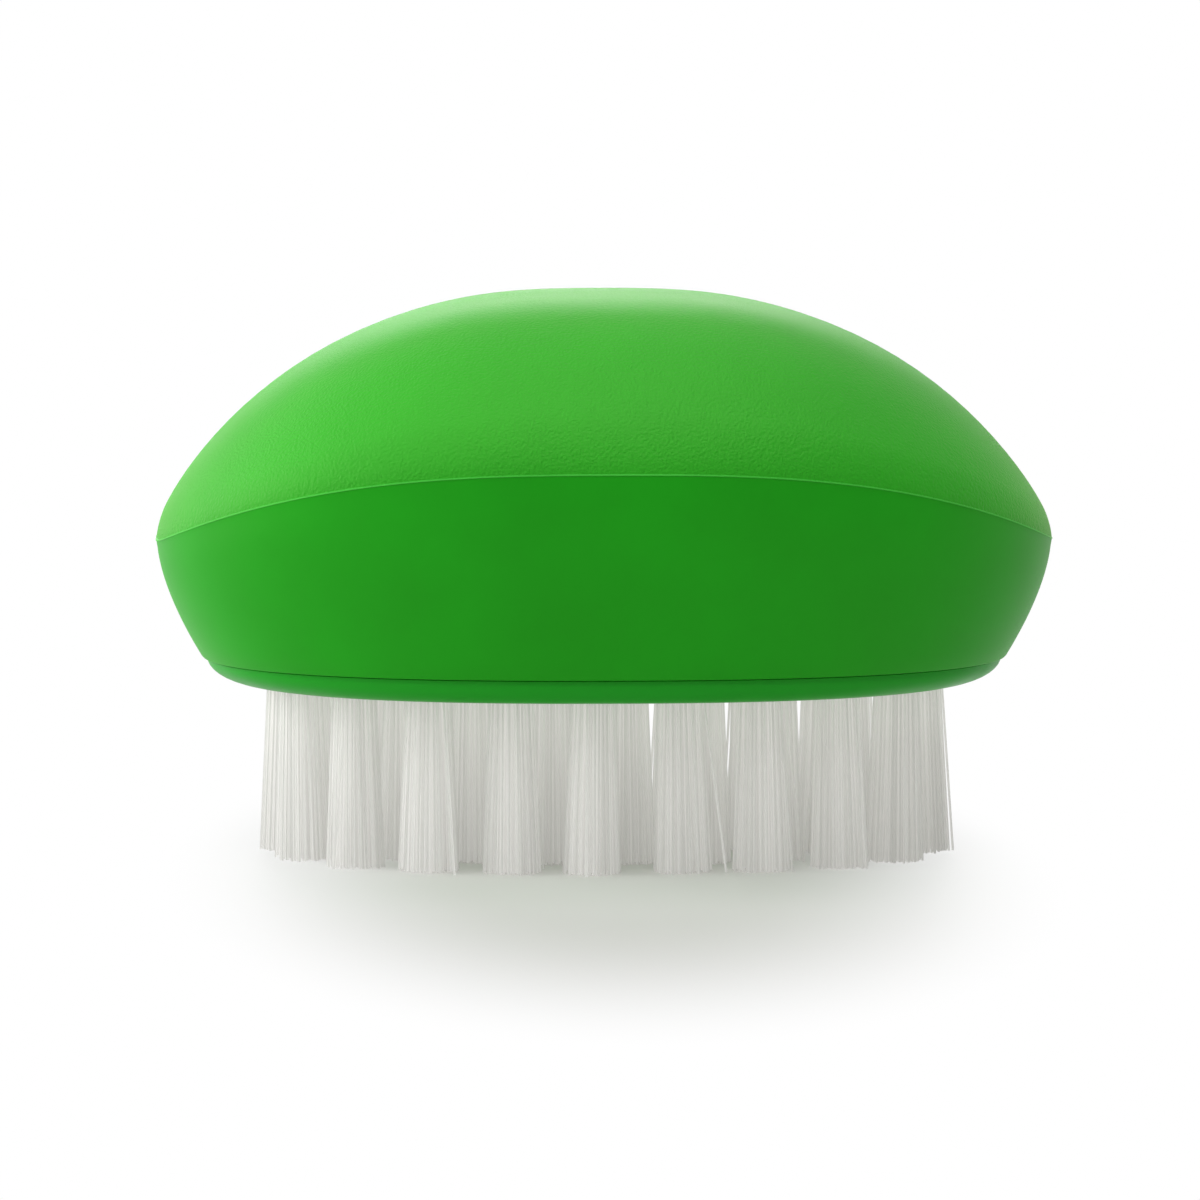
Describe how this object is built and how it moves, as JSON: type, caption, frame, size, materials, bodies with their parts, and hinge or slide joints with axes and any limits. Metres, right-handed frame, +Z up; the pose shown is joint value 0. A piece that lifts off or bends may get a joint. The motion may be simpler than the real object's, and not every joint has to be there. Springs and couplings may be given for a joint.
{
  "type": "vegetable brush",
  "caption": "Palm-held oval scrubbing brush: a domed soft grip over a hard hollow core, with a drilled block of short stiff nylon tufts under it.",
  "frame": {"origin": "on the ground under the middle of the body, at the level of the bristle tips", "axes": "+X along the length of the body, +Y across it, +Z up from the bristle tips to the crown"},
  "size_m": [0.0898, 0.064, 0.0562],
  "materials": {
    "soft_green_skin": "fine matte grain",
    "white_core_plastic": "as moulded",
    "green_block_plastic": "satin",
    "anchor_metal": "rolled strip",
    "white_nylon": "translucent filament"
  },
  "bodies": {
    "root": {"grip_skin": "soft_green_skin", "grip_core": "white_core_plastic", "bristle_block": "green_block_plastic", "tuft_anchors": "anchor_metal", "tuft_outer_01": "white_nylon", "tuft_outer_02": "white_nylon", "tuft_outer_03": "white_nylon", "tuft_outer_04": "white_nylon", "tuft_outer_05": "white_nylon", "tuft_outer_06": "white_nylon", "tuft_outer_07": "white_nylon", "tuft_outer_08": "white_nylon", "tuft_outer_09": "white_nylon", "tuft_outer_10": "white_nylon", "tuft_outer_11": "white_nylon", "tuft_outer_12": "white_nylon", "tuft_outer_13": "white_nylon", "tuft_outer_14": "white_nylon", "tuft_outer_15": "white_nylon", "tuft_outer_16": "white_nylon", "tuft_outer_17": "white_nylon", "tuft_outer_18": "white_nylon", "tuft_outer_19": "white_nylon", "tuft_outer_20": "white_nylon", "tuft_middle_01": "white_nylon", "tuft_middle_02": "white_nylon", "tuft_middle_03": "white_nylon", "tuft_middle_04": "white_nylon", "tuft_middle_05": "white_nylon", "tuft_middle_06": "white_nylon", "tuft_middle_07": "white_nylon", "tuft_middle_08": "white_nylon", "tuft_middle_09": "white_nylon", "tuft_middle_10": "white_nylon", "tuft_middle_11": "white_nylon", "tuft_middle_12": "white_nylon", "tuft_middle_13": "white_nylon", "tuft_middle_14": "white_nylon", "tuft_middle_15": "white_nylon", "tuft_centre_01": "white_nylon", "tuft_centre_02": "white_nylon", "tuft_centre_03": "white_nylon", "tuft_centre_04": "white_nylon", "tuft_centre_05": "white_nylon"}
  },
  "joints": []
}
